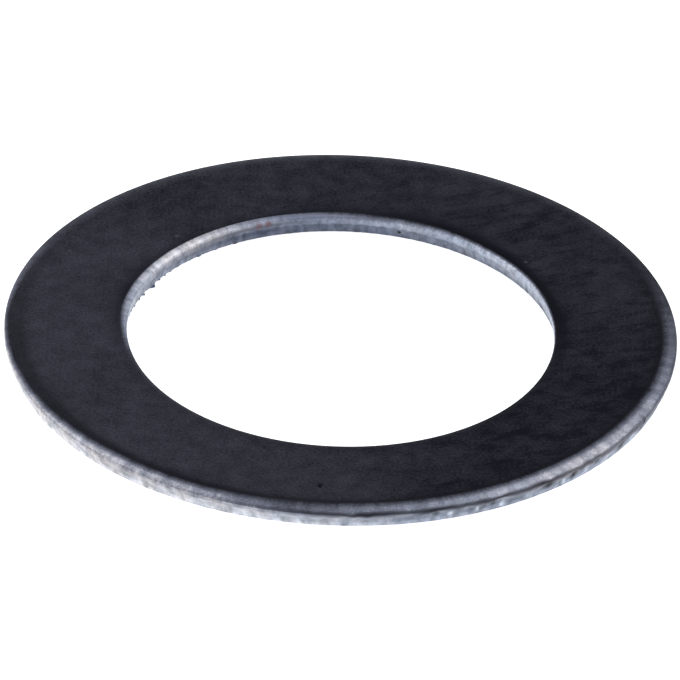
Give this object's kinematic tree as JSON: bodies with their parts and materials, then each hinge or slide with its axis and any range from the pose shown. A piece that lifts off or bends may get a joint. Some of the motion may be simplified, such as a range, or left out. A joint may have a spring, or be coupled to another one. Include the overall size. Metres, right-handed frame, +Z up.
{
  "type": "washer",
  "caption": "Thin flat steel ring washer with a plain round bore, punched from sheet, with rolled upper edges and torn lower edges.",
  "frame": {"origin": "centre of the bore on the bottom face", "axes": "+Z up along the bore's axis, from the torn bottom edges to the rolled top edges; the ring is round, so X and Y are free"},
  "size_m": [0.0159, 0.0158, 0.0005],
  "materials": {
    "blackened_steel": "matt blue-black rolled faces, bare grey sheared edges"
  },
  "bodies": {
    "root": {"washer": "blackened_steel"}
  },
  "joints": []
}
